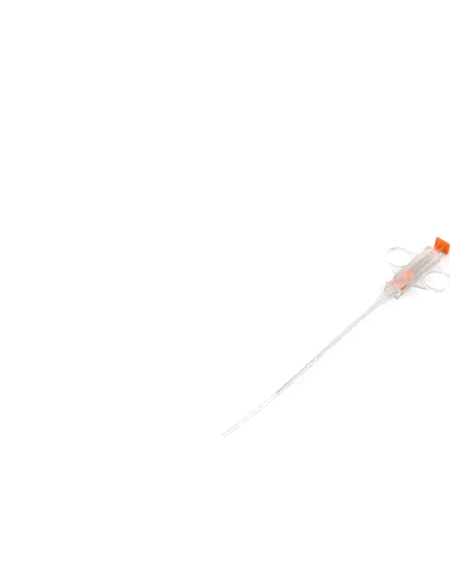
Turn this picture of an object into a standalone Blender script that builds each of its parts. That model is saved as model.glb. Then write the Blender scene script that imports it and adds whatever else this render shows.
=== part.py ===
"""Semi-automatic core biopsy needle: a clear handle with two finger rings, a sprung cannula
carriage, a plunger with the stylet, and a clear sheath over the needle.

Metres. X runs from the needle's point towards the thumb plate and Z is up. The origin is the
middle of the handle's flat underside. It is modelled at rest: spring relaxed, sheath on.
"""
import math

import bmesh
import bpy
from mathutils import Matrix, Vector

# Fits
SEAT_GAP = 0.0003            # between faces that rest on each other
SLIDE_GAP = 0.0003           # round a piece that slides
BOND_GAP = 0.00012           # round a bonded tube or pin
MERGE = 0.000001

# Handle shells
HOUSING_LENGTH = 0.065
HOUSING_WIDTH = 0.015
HOUSING_HEIGHT = 0.0108
AXIS_HEIGHT = 0.006          # needle axis above the underside, also the parting plane
SIDE_WALL = 0.0013
FLOOR_WALL = 0.0013
ROOF_WALL = 0.0013
FRONT_WALL = 0.003
REAR_WALL = 0.0025
SEAT_WALL = 0.0012           # crosswall that the spring rests on
SEAT_FROM_REAR = 0.0123      # that wall's front face, from the handle's rear face
CORNER_RADIUS = 0.0010
ROOF_RADIUS = 0.0007
UNDERSIDE_RADIUS = 0.0008
CAVITY_CORNER = 0.0008
SLOT_CORNER = 0.0005
RIDGE_WALL = 0.0009
RIDGE_SETBACK = 0.0008       # from the ridge's end to the handle's rear face
PEG_RADIUS = 0.0006
PEG_HEIGHT = 0.0012
PEG_INSET = 0.0014           # peg centre from the handle's side
WINDOW_DEPTH = 0.0018        # how far a window reaches in from the handle's side
WINDOW_LAP = 0.0013          # latch pad's flat top that stays under the roof, at the rear
WINDOW_SLOPE = 0.0039

# Finger rings
RING_HOLE_RADIUS = 0.01075
RING_WALL = 0.0025
RING_DEPTH = 0.0036
RING_BASE = 0.0018           # ring's lower face above the underside
RING_FROM_FRONT = 0.0395
RING_SINK = 0.00025          # ring's outer edge sunk into the handle's side
RING_EDGE = 0.0007
WEB_DEPTH = 0.0022
WEB_FRONT = 0.020            # where the web leaves the handle, from the front face
WEB_REAR = 0.0545
WEB_FILLET = 0.0045          # how far the hollow corners reach along the handle

# Nose and needle
NOSE_LENGTH = 0.0065
NOSE_TIP_RADIUS = 0.0018
NOSE_TIP_EDGE = 0.0006
NOSE_FLANGE = 0.001          # flange's thickness and how far it stands over the neck
CANNULA_REACH = 0.150        # cannula's point ahead of the handle's front face
CANNULA_RADIUS = 0.000635
CANNULA_WALL = 0.00011
CANNULA_BEVEL = 32.0         # degrees from the axis
STYLET_CLEARANCE = 0.000075
STYLET_PROUD = 0.0015        # stylet's point ahead of the cannula's
STYLET_BEVEL = 24.0
NOTCH_END_WALL = 0.0012      # solid length between the notch and the bevel

# Mechanism
THROW = 0.010
CARRIAGE_SOCKET = 0.0034     # length of the block that holds the cannula
SOCKET_HEIGHT = 0.0028
HUB_LENGTH = 0.0046
HUB_WIDTH = 0.0030
HUB_HEIGHT = 0.0038
HUB_EDGE = 0.0004
RAIL_THICKNESS = 0.0007
RAIL_HEIGHT = 0.0022
ROOT_LENGTH = 0.0024         # crosspiece that carries the latch arms
ROOT_HEIGHT = 0.0050
SPRING_RING = 0.0022
SPRING_PILOT = 0.0020
ARM_THICKNESS = 0.0010
ARM_SIDE_GAP = 0.0010        # arm to the handle's side wall
ARM_SETBACK = 0.0012         # arm's front behind the carriage's front
PAD_LENGTH = 0.0059          # latch pad's flat top
PAD_SLOPE = 0.0056
ARM_ROOF_GAP = 0.0003
ARM_FLOOR_GAP = 0.0005
BEAM_BASE = 0.0029           # arm's lower edge above the underside
BEAM_HEIGHT = 0.0021
LEDGE_LENGTH = 0.0011
LEDGE_RAMP = 0.0014

# Spring
WIRE_RADIUS = 0.00045
COIL_RADIUS = 0.00345
COILS = 12
COIL_STEPS = 14

# Plunger
ROD_RADIUS = 0.0015
ROD_PIN_RADIUS = 0.0009
ROD_PIN_LENGTH = 0.0018
STYLET_SEAT = 0.0016
STEM_WIDTH = 0.0060
STEM_HEIGHT = 0.0044
STEM_WALL = 0.0010           # round the stem's pockets
STEM_POCKET = 0.0055         # pocket's length
STEM_BITE = 0.0008           # stem and rod sunk into what they join
THUMB_REST_GAP = 0.0008      # thumb plate to handle with the plunger pushed home
THUMB_WIDTH = 0.0146
THUMB_RISE = 0.0064          # thumb plate above the axis
THUMB_DROP = 0.0059          # and below it
THUMB_THICKNESS = 0.0025
THUMB_CORNER = 0.0010
THUMB_EDGE = 0.0004
THUMB_RIM = 0.0013
THUMB_RECESS = 0.0009
GRIP_RIBS = 5
GRIP_RIB_HEIGHT = 0.0004

# Sheath
SHEATH_REACH = 0.2075        # open end ahead of the handle's front face
SHEATH_WALL = 0.0004
SHEATH_PLAY = 0.00097        # tube bore round the cannula
SHEATH_MOUTH_RADIUS = 0.0050
SHEATH_FLARE = 0.034
SHEATH_FLARE_POWER = 1.5
SHEATH_SAG = 0.00045
SAG_START = 0.010
SAG_LENGTH = 0.035
SHEATH_WANDER = 0.00055
WANDER_LENGTH = 0.160
SHEATH_TURN = 0.0044         # sideways bend past the needle
SHEATH_SIDES = 14
TABLE_GAP = 0.00005

# Places along X, from the front of the handle to the thumb plate
FRONT = -HOUSING_LENGTH / 2
REAR = HOUSING_LENGTH / 2
CAVITY_FRONT = FRONT + FRONT_WALL
FLANGE_FRONT = CAVITY_FRONT + SEAT_GAP
CARRIAGE_FRONT = FLANGE_FRONT + NOSE_FLANGE + SEAT_GAP
SOCKET_REAR = CARRIAGE_FRONT + CARRIAGE_SOCKET
HUB_FRONT = SOCKET_REAR + SEAT_GAP + THROW
HUB_REAR = HUB_FRONT + HUB_LENGTH
ROOT_FRONT = HUB_REAR + SEAT_GAP
ROOT_REAR = ROOT_FRONT + ROOT_LENGTH
RING_REAR = ROOT_REAR + SPRING_RING
PILOT_REAR = RING_REAR + SPRING_PILOT
CAVITY_REAR = ROOT_REAR + THROW + SEAT_GAP
SPRING_FRONT = RING_REAR + SEAT_GAP
SEAT_FRONT = REAR - SEAT_FROM_REAR
SEAT_REAR = SEAT_FRONT + SEAT_WALL
SPRING_REAR = SEAT_FRONT - SEAT_GAP
STEM_FRONT = SEAT_REAR + THROW + SEAT_GAP
THUMB_FRONT = REAR + THROW + THUMB_REST_GAP
ARM_FRONT = CARRIAGE_FRONT + ARM_SETBACK

# Radii and half widths that follow from the pieces they clear
SPRING_RADIUS = COIL_RADIUS + WIRE_RADIUS
RING_RADIUS = SPRING_RADIUS + 0.5 * WIRE_RADIUS
BORE_RADIUS = RING_RADIUS + SLIDE_GAP
RIDGE_RADIUS = BORE_RADIUS + RIDGE_WALL
PILOT_RADIUS = COIL_RADIUS - WIRE_RADIUS - SLIDE_GAP
CAVITY_HALF = HOUSING_WIDTH / 2 - SIDE_WALL
ARM_OUTER = CAVITY_HALF - ARM_SIDE_GAP
ARM_INNER = ARM_OUTER - ARM_THICKNESS
PAD_OUTER = CAVITY_HALF - SLIDE_GAP
RAIL_INNER = HUB_WIDTH / 2 + SLIDE_GAP
RAIL_OUTER = RAIL_INNER + RAIL_THICKNESS
CANNULA_BORE = CANNULA_RADIUS - CANNULA_WALL
STYLET_RADIUS = CANNULA_BORE - STYLET_CLEARANCE
SHEATH_BORE = CANNULA_RADIUS + SHEATH_PLAY
SHEATH_RADIUS = SHEATH_BORE + SHEATH_WALL
NOSE_RADIUS = SHEATH_MOUTH_RADIUS - SHEATH_WALL - SEAT_GAP
NOSE_FLANGE_RADIUS = HOUSING_HEIGHT - ROOF_WALL - AXIS_HEIGHT - SEAT_GAP
NOSE_NECK_RADIUS = NOSE_FLANGE_RADIUS - NOSE_FLANGE
RING_RADIUS_OUT = RING_HOLE_RADIUS + RING_WALL
RING_OFFSET = HOUSING_WIDTH / 2 + RING_RADIUS_OUT - RING_SINK


def material(name, color, roughness, metallic=0.0, alpha=1.0):
    """A plain material in the piece's colour."""
    made = bpy.data.materials.new(name)
    made.use_nodes = True
    shader = made.node_tree.nodes["Principled BSDF"]
    shader.inputs["Base Color"].default_value = (*color, 1.0)
    shader.inputs["Roughness"].default_value = roughness
    shader.inputs["Metallic"].default_value = metallic
    shader.inputs["Alpha"].default_value = alpha
    made.diffuse_color = (*color, alpha)
    return made


def add_object(name, bm, finish=None, parent=None, height=0.0):
    """Links a mesh as an object, its faces pointing out and its round sides smooth."""
    bmesh.ops.remove_doubles(bm, verts=bm.verts, dist=MERGE)
    bmesh.ops.recalc_face_normals(bm, faces=bm.faces)
    mesh = bpy.data.meshes.new(name)
    bm.to_mesh(mesh)
    bm.free()
    mesh.shade_smooth()
    mesh.set_sharp_from_angle(angle=math.radians(35))
    made = bpy.data.objects.new(name, mesh)
    bpy.context.collection.objects.link(made)
    if finish:
        mesh.materials.append(finish)
    if parent:
        made.parent = parent
    made.location.z = height
    return made


def add_guide(name, bm, height=0.0):
    """Links a mesh that only cuts or joins another piece."""
    made = add_object(name, bm, height=height)
    made.hide_render = True
    made.display_type = "WIRE"
    return made


def boolean(target, tool, operation):
    """Joins or cuts the target with a guide."""
    step = target.modifiers.new(f"{operation.lower()} {tool.name}", "BOOLEAN")
    step.operation = operation
    step.solver = "EXACT"
    step.object = tool


def box(low, high):
    """A box between two corners."""
    low, high = Vector(low), Vector(high)
    bm = bmesh.new()
    place = Matrix.Translation((low + high) / 2) @ Matrix.Diagonal((*(high - low), 1.0))
    bmesh.ops.create_cube(bm, size=1.0, matrix=place)
    return bm


def upright_edges(bm):
    """Edges that run along Z."""
    return [e for e in bm.edges if abs(e.verts[0].co.z - e.verts[1].co.z) > MERGE]


def along_edges(bm):
    """Edges that run along X."""
    return [e for e in bm.edges if abs(e.verts[0].co.x - e.verts[1].co.x) > MERGE]


def cross_edges(bm):
    """Edges square to X."""
    return [e for e in bm.edges if abs(e.verts[0].co.x - e.verts[1].co.x) < MERGE]


def level_edges(bm, height):
    """Edges that lie flat at a height."""
    return [e for e in bm.edges if all(abs(v.co.z - height) < MERGE for v in e.verts)]


def round_edges(bm, edges, radius, segments=3):
    """Rounds the given edges."""
    bmesh.ops.bevel(bm, geom=edges, offset=radius, segments=segments, profile=0.5,
                    affect="EDGES", clamp_overlap=True, material=-1)


def cylinder(front, rear, radius, sides=24):
    """A cylinder along X round the needle axis."""
    bm = bmesh.new()
    place = Matrix.Translation(((front + rear) / 2, 0, 0)) @ Matrix.Rotation(math.pi / 2, 4, "Y")
    bmesh.ops.create_cone(bm, cap_ends=True, segments=sides, radius1=radius, radius2=radius,
                          depth=rear - front, matrix=place)
    return bm


def turned(outline, sides=28):
    """A closed outline of (x, radius) points, turned about the needle axis."""
    bm = bmesh.new()
    points = [bm.verts.new((x, 0, radius)) for x, radius in outline]
    ring = [bm.edges.new((a, b)) for a, b in zip(points, points[1:] + points[:1])]
    bmesh.ops.spin(bm, geom=points + ring, cent=(0, 0, 0), axis=(1, 0, 0),
                   angle=2 * math.pi, steps=sides, use_merge=True, use_duplicate=False)
    return bm


def prism(outline, along, start, end):
    """A flat outline extruded along Y or Z from start to end."""
    bm = bmesh.new()
    if along == "Z":
        corners = [bm.verts.new((a, b, start)) for a, b in outline]
        shift = Vector((0, 0, end - start))
    else:
        corners = [bm.verts.new((a, start, b)) for a, b in outline]
        shift = Vector((0, end - start, 0))
    face = bm.faces.new(corners)
    pushed = bmesh.ops.extrude_face_region(bm, geom=[face])["geom"]
    bmesh.ops.translate(bm, verts=[v for v in pushed if isinstance(v, bmesh.types.BMVert)], vec=shift)
    return bm


def keep_one_side(bm, height, above):
    """Cuts a mesh level at a height, keeps one side and closes the cut."""
    cut = bmesh.ops.bisect_plane(bm, geom=bm.verts[:] + bm.edges[:] + bm.faces[:],
                                 plane_co=(0, 0, height), plane_no=(0, 0, -1 if above else 1),
                                 clear_outer=True)["geom_cut"]
    rim = [e for e in cut if isinstance(e, bmesh.types.BMEdge)]
    bmesh.ops.edgeloop_fill(bm, edges=rim)


def housing_block():
    """The handle's outer form before it is parted into two shells."""
    bm = box((FRONT, -HOUSING_WIDTH / 2, 0), (REAR, HOUSING_WIDTH / 2, HOUSING_HEIGHT))
    round_edges(bm, upright_edges(bm), CORNER_RADIUS, 4)
    round_edges(bm, level_edges(bm, HOUSING_HEIGHT), ROOF_RADIUS, 4)
    round_edges(bm, level_edges(bm, 0.0), UNDERSIDE_RADIUS, 2)
    return bm


def housing_cutters():
    """Guides that hollow both shells: carriage cavity, spring bore, rear chamber and three holes."""
    cavity = box((CAVITY_FRONT, -CAVITY_HALF, FLOOR_WALL),
                 (CAVITY_REAR, CAVITY_HALF, HOUSING_HEIGHT - ROOF_WALL))
    round_edges(cavity, upright_edges(cavity), CAVITY_CORNER, 2)
    nose_hole = cylinder(FRONT - SEAT_GAP, CAVITY_FRONT + SEAT_GAP, NOSE_NECK_RADIUS + SEAT_GAP)
    slot_width, slot_height = STEM_WIDTH / 2 + SLIDE_GAP, STEM_HEIGHT / 2 + SLIDE_GAP
    slot = box((REAR - REAR_WALL - SEAT_GAP, -slot_width, -slot_height),
               (REAR + SEAT_GAP, slot_width, slot_height))
    round_edges(slot, along_edges(slot), SLOT_CORNER, 2)
    rod_hole = cylinder(SEAT_FRONT - SEAT_GAP, SEAT_REAR + SEAT_GAP, ROD_RADIUS + SLIDE_GAP)
    on_axis = {
        "bore": cylinder(ROOT_REAR - 2 * SEAT_GAP, SEAT_FRONT, BORE_RADIUS, 32),
        "chamber": cylinder(SEAT_REAR, REAR - REAR_WALL, BORE_RADIUS, 32),
        "nose_hole": nose_hole,
        "seat_hole": rod_hole,
        "stem_slot": slot,
    }
    cutters = [add_guide("cavity_cutter", cavity)]
    for name, bm in on_axis.items():
        cutters.append(add_guide(f"{name}_cutter", bm, AXIS_HEIGHT))
    return cutters


def window_outline():
    """Side view of one window: open at the seam and the roof, with a sloping rear edge."""
    front = CAVITY_FRONT + SEAT_GAP
    top_rear = ARM_FRONT + PAD_LENGTH - WINDOW_LAP
    above = HOUSING_HEIGHT + SEAT_GAP
    return [(front, AXIS_HEIGHT), (top_rear + WINDOW_SLOPE, AXIS_HEIGHT), (top_rear, HOUSING_HEIGHT),
            (top_rear, above), (front, above)]


def tangent_angle(start, towards_front):
    """Angle on the ring's rim where a line from a point on the handle's side touches it."""
    leg = Vector(start) - Vector((FRONT + RING_FROM_FRONT, RING_OFFSET))
    spread = math.acos(RING_RADIUS_OUT / leg.length)
    bearing = math.atan2(leg.y, leg.x)
    return bearing - spread if towards_front else bearing + spread


def hollow_corner(corner, wall_way, far):
    """Curve that eases a web's edge into the handle's side: from the side to the edge."""
    corner, far = Vector(corner), Vector(far)
    on_wall = corner + Vector((wall_way * WEB_FILLET, 0))
    on_edge = corner + (far - corner).normalized() * WEB_FILLET
    steps = 4
    return [tuple(on_wall.lerp(corner, n / steps).lerp(corner.lerp(on_edge, n / steps), n / steps))
            for n in range(steps + 1)]


def wing_outline():
    """Plan of one ring and its webs: two tangents from the handle and the arc between them."""
    root = HOUSING_WIDTH / 2 - RING_SINK
    front_root, rear_root = (FRONT + WEB_FRONT, root), (FRONT + WEB_REAR, root)
    first = tangent_angle(rear_root, False)
    last = tangent_angle(front_root, True) % (2 * math.pi)
    steps = 14
    arc = []
    for step in range(steps + 1):
        turn = first + (last - first) * step / steps
        arc.append((FRONT + RING_FROM_FRONT + RING_RADIUS_OUT * math.cos(turn),
                    RING_OFFSET + RING_RADIUS_OUT * math.sin(turn)))
    rear_corner = hollow_corner(rear_root, 1, arc[0])
    front_corner = hollow_corner(front_root, -1, arc[-1])
    inside = root - SIDE_WALL / 2
    return [(front_corner[0][0], inside), (rear_corner[0][0], inside), *rear_corner, *arc,
            *reversed(front_corner)]


def ring_band(centre):
    """The thick band of one finger ring, its edges eased."""
    bm = bmesh.new()
    low, high = RING_BASE, RING_BASE + RING_DEPTH
    inner, outer, ease = RING_HOLE_RADIUS, RING_RADIUS_OUT, RING_EDGE
    section = [(inner, low + ease), (inner + ease, low), (outer - ease, low), (outer, low + ease),
               (outer, high - ease), (outer - ease, high), (inner + ease, high), (inner, high - ease)]
    points = [bm.verts.new((centre[0] + radius, centre[1], height)) for radius, height in section]
    loop = [bm.edges.new((a, b)) for a, b in zip(points, points[1:] + points[:1])]
    bmesh.ops.spin(bm, geom=points + loop, cent=(*centre, 0), axis=(0, 0, 1),
                   angle=2 * math.pi, steps=36, use_merge=True, use_duplicate=False)
    return bm


def add_wing(side, word):
    """Guide for one finger ring with its web, on one side of the handle."""
    centre = (FRONT + RING_FROM_FRONT, side * RING_OFFSET)
    middle = RING_BASE + RING_DEPTH / 2
    outline = [(x, side * y) for x, y in wing_outline()]
    wing = add_guide(f"wing_{word}", prism(outline, "Z", middle - WEB_DEPTH / 2, middle + WEB_DEPTH / 2))
    hole = bmesh.new()
    bmesh.ops.create_cone(hole, cap_ends=True, segments=36, radius1=RING_HOLE_RADIUS + RING_WALL / 2,
                          radius2=RING_HOLE_RADIUS + RING_WALL / 2, depth=2 * RING_DEPTH,
                          matrix=Matrix.Translation((*centre, middle)))
    boolean(wing, add_guide(f"ring_hole_{word}", hole), "DIFFERENCE")
    boolean(wing, add_guide(f"ring_band_{word}", ring_band(centre)), "UNION")
    return wing


def ledge_outline(side):
    """Plan of one latch ledge: a ramp for the arm's toe, then a square catch face."""
    catch = ARM_FRONT + THROW - SEAT_GAP
    inner, wall, sunk = ARM_OUTER + SLIDE_GAP, CAVITY_HALF, CAVITY_HALF + SIDE_WALL / 3
    start = catch - LEDGE_LENGTH
    points = [(start - LEDGE_RAMP, sunk), (start - LEDGE_RAMP, wall), (start, inner), (catch, inner),
              (catch, sunk)]
    return [(x, side * y) for x, y in points]


def peg_places():
    """Where the cover's sockets take the base's pegs."""
    side = HOUSING_WIDTH / 2 - PEG_INSET
    return [(x, sign * side) for x in (CAVITY_REAR + 3 * PEG_INSET, REAR - REAR_WALL / 2 - PEG_INSET)
            for sign in (-1, 1)]


def upright_pin(place, low, high, radius):
    """A short round pin along Z."""
    bm = bmesh.new()
    bmesh.ops.create_cone(bm, cap_ends=True, segments=12, radius1=radius, radius2=radius,
                          depth=high - low, matrix=Matrix.Translation((*place, (low + high) / 2)))
    return bm


def build_housing_base(clear, cutters):
    """Lower shell with both finger rings, the latch ledges and the pegs."""
    bm = housing_block()
    keep_one_side(bm, AXIS_HEIGHT - SEAT_GAP / 2, above=False)
    base = add_object("housing_base", bm, clear)
    for side, word in ((1, "left"), (-1, "right")):
        boolean(base, add_wing(side, word), "UNION")
    for cutter in cutters:
        boolean(base, cutter, "DIFFERENCE")
    for side, word in ((1, "left"), (-1, "right")):
        ledge = prism(ledge_outline(side), "Z", FLOOR_WALL / 2, BEAM_BASE)
        boolean(base, add_guide(f"ledge_{word}", ledge), "UNION")
    top = AXIS_HEIGHT + PEG_HEIGHT
    for number, place in enumerate(peg_places(), 1):
        pin = upright_pin(place, AXIS_HEIGHT - PEG_HEIGHT, top, PEG_RADIUS)
        boolean(base, add_guide(f"peg_{number}", pin), "UNION")
    return base


def build_housing_cover(clear, cutters):
    """Upper shell, with the round ridge over the spring and a window at each latch pad."""
    bm = housing_block()
    keep_one_side(bm, AXIS_HEIGHT + SEAT_GAP / 2, above=True)
    cover = add_object("housing_cover", bm, clear)
    ridge = cylinder(ROOT_REAR - RIDGE_WALL, REAR - RIDGE_SETBACK, RIDGE_RADIUS, 32)
    round_edges(ridge, cross_edges(ridge), RIDGE_WALL / 2, 2)
    keep_one_side(ridge, RIDGE_RADIUS / 3, above=True)
    boolean(cover, add_guide("ridge", ridge, AXIS_HEIGHT), "UNION")
    for cutter in cutters:
        boolean(cover, cutter, "DIFFERENCE")
    for side, word in ((1, "left"), (-1, "right")):
        inner = side * (HOUSING_WIDTH / 2 - WINDOW_DEPTH)
        outer = side * (HOUSING_WIDTH / 2 + SEAT_GAP)
        window = prism(window_outline(), "Y", inner, outer)
        boolean(cover, add_guide(f"window_{word}", window), "DIFFERENCE")
    depth = PEG_HEIGHT + SEAT_GAP
    for number, place in enumerate(peg_places(), 1):
        socket = upright_pin(place, AXIS_HEIGHT - depth, AXIS_HEIGHT + depth, PEG_RADIUS + SEAT_GAP)
        boolean(cover, add_guide(f"peg_socket_{number}", socket), "DIFFERENCE")
    return cover


def build_needle_guide(clear):
    """Conical nose, held by its neck in the front wall between the two shells."""
    bore = CANNULA_RADIUS + SLIDE_GAP
    tip = FRONT - NOSE_LENGTH
    ease = NOSE_TIP_EDGE
    flange_rear = FLANGE_FRONT + NOSE_FLANGE
    outline = [
        (tip, bore), (tip, NOSE_TIP_RADIUS - ease), (tip + ease, NOSE_TIP_RADIUS),
        (FRONT - 2 * NOSE_FLANGE, NOSE_RADIUS), (FRONT - SEAT_GAP, NOSE_RADIUS),
        (FRONT - SEAT_GAP, NOSE_NECK_RADIUS), (FLANGE_FRONT, NOSE_NECK_RADIUS),
        (FLANGE_FRONT, NOSE_FLANGE_RADIUS), (flange_rear, NOSE_FLANGE_RADIUS), (flange_rear, bore),
    ]
    return add_object("needle_guide", turned(outline), clear, height=AXIS_HEIGHT)


def arm_outlines():
    """Side views of one latch arm, a beam with a toe, and of the pad that stands out from it."""
    top = HOUSING_HEIGHT - ROOF_WALL - ARM_ROOF_GAP - AXIS_HEIGHT
    toe = FLOOR_WALL + ARM_FLOOR_GAP - AXIS_HEIGHT
    beam = BEAM_BASE - AXIS_HEIGHT
    beam_top = beam + BEAM_HEIGHT
    pad_rear = ARM_FRONT + PAD_LENGTH
    slope_rear = pad_rear + PAD_SLOPE
    toe_rear = ARM_FRONT + 2 * ARM_THICKNESS
    root_middle = ROOT_FRONT + ROOT_LENGTH / 2
    upper = [(slope_rear, beam_top), (pad_rear, top), (ARM_FRONT, top)]
    arm = [(ARM_FRONT, toe), (toe_rear, toe), (toe_rear + ARM_THICKNESS, beam), (root_middle, beam),
           (root_middle, beam_top), *upper]
    pad_base = beam + SLIDE_GAP
    pad = [(ARM_FRONT, pad_base), (slope_rear, pad_base), *upper]
    return arm, pad


def build_carriage(orange, parent):
    """Cannula socket, rails, crosspiece, spring ring and the two latch arms, moulded in one."""
    half = ROOT_HEIGHT / 2
    root = box((ROOT_FRONT, -ARM_OUTER, -half), (ROOT_REAR, ARM_OUTER, half))
    carriage = add_object("carriage", root, orange, parent)
    bite = ROOT_LENGTH / 4
    ring = cylinder(ROOT_REAR - bite, RING_REAR, RING_RADIUS)
    pilot = cylinder(ROOT_REAR - bite, PILOT_REAR, PILOT_RADIUS)
    half = SOCKET_HEIGHT / 2
    socket = box((CARRIAGE_FRONT, -RAIL_OUTER, -half), (SOCKET_REAR, RAIL_OUTER, half))
    round_edges(socket, upright_edges(socket), RAIL_THICKNESS / 2, 2)
    parts = [("spring_ring", ring), ("spring_pilot", pilot), ("socket", socket)]
    arm_side, pad_side = arm_outlines()
    for side, word in ((1, "left"), (-1, "right")):
        low, high = sorted((side * RAIL_INNER, side * RAIL_OUTER))
        rail = box((SOCKET_REAR - bite, low, -RAIL_HEIGHT / 2),
                   (ROOT_FRONT + bite, high, RAIL_HEIGHT / 2))
        arm = prism(arm_side, "Y", side * ARM_INNER, side * ARM_OUTER)
        pad = prism(pad_side, "Y", side * (ARM_INNER + ARM_OUTER) / 2, side * PAD_OUTER)
        parts += [(f"rail_{word}", rail), (f"arm_{word}", arm), (f"pad_{word}", pad)]
    for name, bm in parts:
        boolean(carriage, add_guide(f"carriage_{name}", bm, AXIS_HEIGHT), "UNION")
    cannula_hole = cylinder(CARRIAGE_FRONT - SEAT_GAP, SOCKET_REAR + SEAT_GAP,
                            CANNULA_RADIUS + BOND_GAP, 16)
    rod_hole = cylinder(ROOT_FRONT - SEAT_GAP, PILOT_REAR + SEAT_GAP, ROD_RADIUS + SLIDE_GAP)
    for name, bm in (("cannula_hole", cannula_hole), ("rod_hole", rod_hole)):
        boolean(carriage, add_guide(f"carriage_{name}", bm, AXIS_HEIGHT), "DIFFERENCE")
    return carriage


def bevel_cutter(name, point, radius, degrees):
    """Guide that takes a slanted cut off a needle's point, leaving the tip at the bottom."""
    reach = 2 * radius / math.tan(math.radians(degrees))
    outline = [(point - radius, -radius), (point, -radius), (point + reach, radius),
               (point + reach, 3 * radius), (point - radius, 3 * radius)]
    return add_guide(name, prism(outline, "Y", -2 * radius, 2 * radius), AXIS_HEIGHT)


def build_cannula(steel, parent):
    """Outer tube, sharpened at the front and bonded in the carriage's socket."""
    point = FRONT - CANNULA_REACH
    rear = SOCKET_REAR - SEAT_GAP
    outline = [(point, CANNULA_BORE), (point, CANNULA_RADIUS), (rear, CANNULA_RADIUS),
               (rear, CANNULA_BORE)]
    cannula = add_object("cannula", turned(outline, 16), steel, parent)
    boolean(cannula, bevel_cutter("cannula_point_cutter", point, CANNULA_RADIUS, CANNULA_BEVEL),
            "DIFFERENCE")
    return cannula


def build_stylet(steel, parent):
    """Solid rod with a slanted point and the specimen notch, as long as the throw allows."""
    point = FRONT - CANNULA_REACH - STYLET_PROUD
    stylet = add_object("stylet", cylinder(point, HUB_FRONT + STYLET_SEAT, STYLET_RADIUS, 12),
                        steel, parent)
    boolean(stylet, bevel_cutter("stylet_point_cutter", point, STYLET_RADIUS, STYLET_BEVEL),
            "DIFFERENCE")
    bevel_length = 2 * STYLET_RADIUS / math.tan(math.radians(STYLET_BEVEL))
    front = point + bevel_length + NOTCH_END_WALL
    rear = FRONT - CANNULA_REACH + THROW
    top = 2 * STYLET_RADIUS
    outline = [(front, 0), (rear - STYLET_RADIUS, 0), (rear + STYLET_RADIUS, top),
               (front - STYLET_RADIUS, top)]
    notch = add_guide("notch_cutter", prism(outline, "Y", -top, top), AXIS_HEIGHT)
    boolean(stylet, notch, "DIFFERENCE")
    return stylet


def build_stylet_hub(orange, parent):
    """Block that slides between the carriage's rails and joins the stylet to the rod."""
    bm = box((HUB_FRONT, -HUB_WIDTH / 2, -HUB_HEIGHT / 2), (HUB_REAR, HUB_WIDTH / 2, HUB_HEIGHT / 2))
    round_edges(bm, bm.edges[:], HUB_EDGE, 2)
    hub = add_object("stylet_hub", bm, orange, parent)
    stylet_hole = cylinder(HUB_FRONT - SEAT_GAP, HUB_FRONT + STYLET_SEAT + BOND_GAP,
                           STYLET_RADIUS + BOND_GAP, 16)
    rod_hole = cylinder(HUB_REAR - ROD_PIN_LENGTH - BOND_GAP, HUB_REAR + SEAT_GAP,
                        ROD_PIN_RADIUS + BOND_GAP, 16)
    boolean(hub, add_guide("hub_stylet_hole", stylet_hole, AXIS_HEIGHT), "DIFFERENCE")
    boolean(hub, add_guide("hub_rod_hole", rod_hole, AXIS_HEIGHT), "DIFFERENCE")
    return hub


def thumb_plate():
    """Thumb plate square to the axis, with rounded corners and eased edges."""
    bm = box((THUMB_FRONT, -THUMB_WIDTH / 2, -THUMB_DROP),
             (THUMB_FRONT + THUMB_THICKNESS, THUMB_WIDTH / 2, THUMB_RISE))
    round_edges(bm, along_edges(bm), THUMB_CORNER, 4)
    round_edges(bm, cross_edges(bm), THUMB_EDGE, 2)
    return bm


def grip_ribs():
    """Level ribs across the thumb plate's rear face."""
    pitch = (THUMB_RISE + THUMB_DROP - 2 * THUMB_RIM) / GRIP_RIBS
    rear = THUMB_FRONT + THUMB_THICKNESS
    reach = THUMB_WIDTH / 2 - 2 * THUMB_RIM
    ribs = []
    for number in range(GRIP_RIBS):
        middle = THUMB_RIM - THUMB_DROP + (number + 0.5) * pitch
        ribs.append(box((rear - GRIP_RIB_HEIGHT, -reach, middle - pitch / 5),
                        (rear + GRIP_RIB_HEIGHT, reach, middle + pitch / 5)))
    return ribs


def stem_pockets():
    """Pockets in the stem's top and bottom, in front of the thumb plate."""
    rear = THUMB_FRONT - STEM_WALL
    reach = STEM_WIDTH / 2 - STEM_WALL
    pockets = []
    for low, high in ((STEM_WALL / 2, STEM_HEIGHT), (-STEM_HEIGHT, -STEM_WALL / 2)):
        pocket = box((rear - STEM_POCKET, -reach, low), (rear, reach, high))
        round_edges(pocket, upright_edges(pocket), SLOT_CORNER, 2)
        pockets.append(pocket)
    return pockets


def build_plunger(orange, parent):
    """Rod, pocketed stem and thumb plate, moulded in one."""
    plunger = add_object("plunger", thumb_plate(), orange, parent)
    cuts = []
    for side in (1, -1):
        low, high = sorted((side * (STEM_WIDTH / 2 + STEM_WALL), side * (THUMB_WIDTH / 2 - THUMB_RIM)))
        recess = box((THUMB_FRONT - SEAT_GAP, low, THUMB_RIM - THUMB_DROP),
                     (THUMB_FRONT + THUMB_RECESS, high, THUMB_RISE - THUMB_RIM))
        round_edges(recess, along_edges(recess), THUMB_CORNER / 2, 2)
        cuts.append(recess)
    rod_front = HUB_REAR + SEAT_GAP
    stem = box((STEM_FRONT, -STEM_WIDTH / 2, -STEM_HEIGHT / 2),
               (THUMB_FRONT + STEM_BITE, STEM_WIDTH / 2, STEM_HEIGHT / 2))
    round_edges(stem, along_edges(stem), SLOT_CORNER, 2)
    pin_rear = rod_front + ROD_PIN_LENGTH
    joins = [stem, cylinder(rod_front, STEM_FRONT + STEM_BITE, ROD_RADIUS),
             cylinder(HUB_REAR - ROD_PIN_LENGTH, pin_rear, ROD_PIN_RADIUS, 16), *grip_ribs()]
    steps = [(cuts, "DIFFERENCE"), (joins, "UNION"), (stem_pockets(), "DIFFERENCE")]
    for meshes, operation in steps:
        for number, bm in enumerate(meshes, 1):
            guide = add_guide(f"plunger_{operation.lower()}_{number}", bm, AXIS_HEIGHT)
            boolean(plunger, guide, operation)
    return plunger


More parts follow.
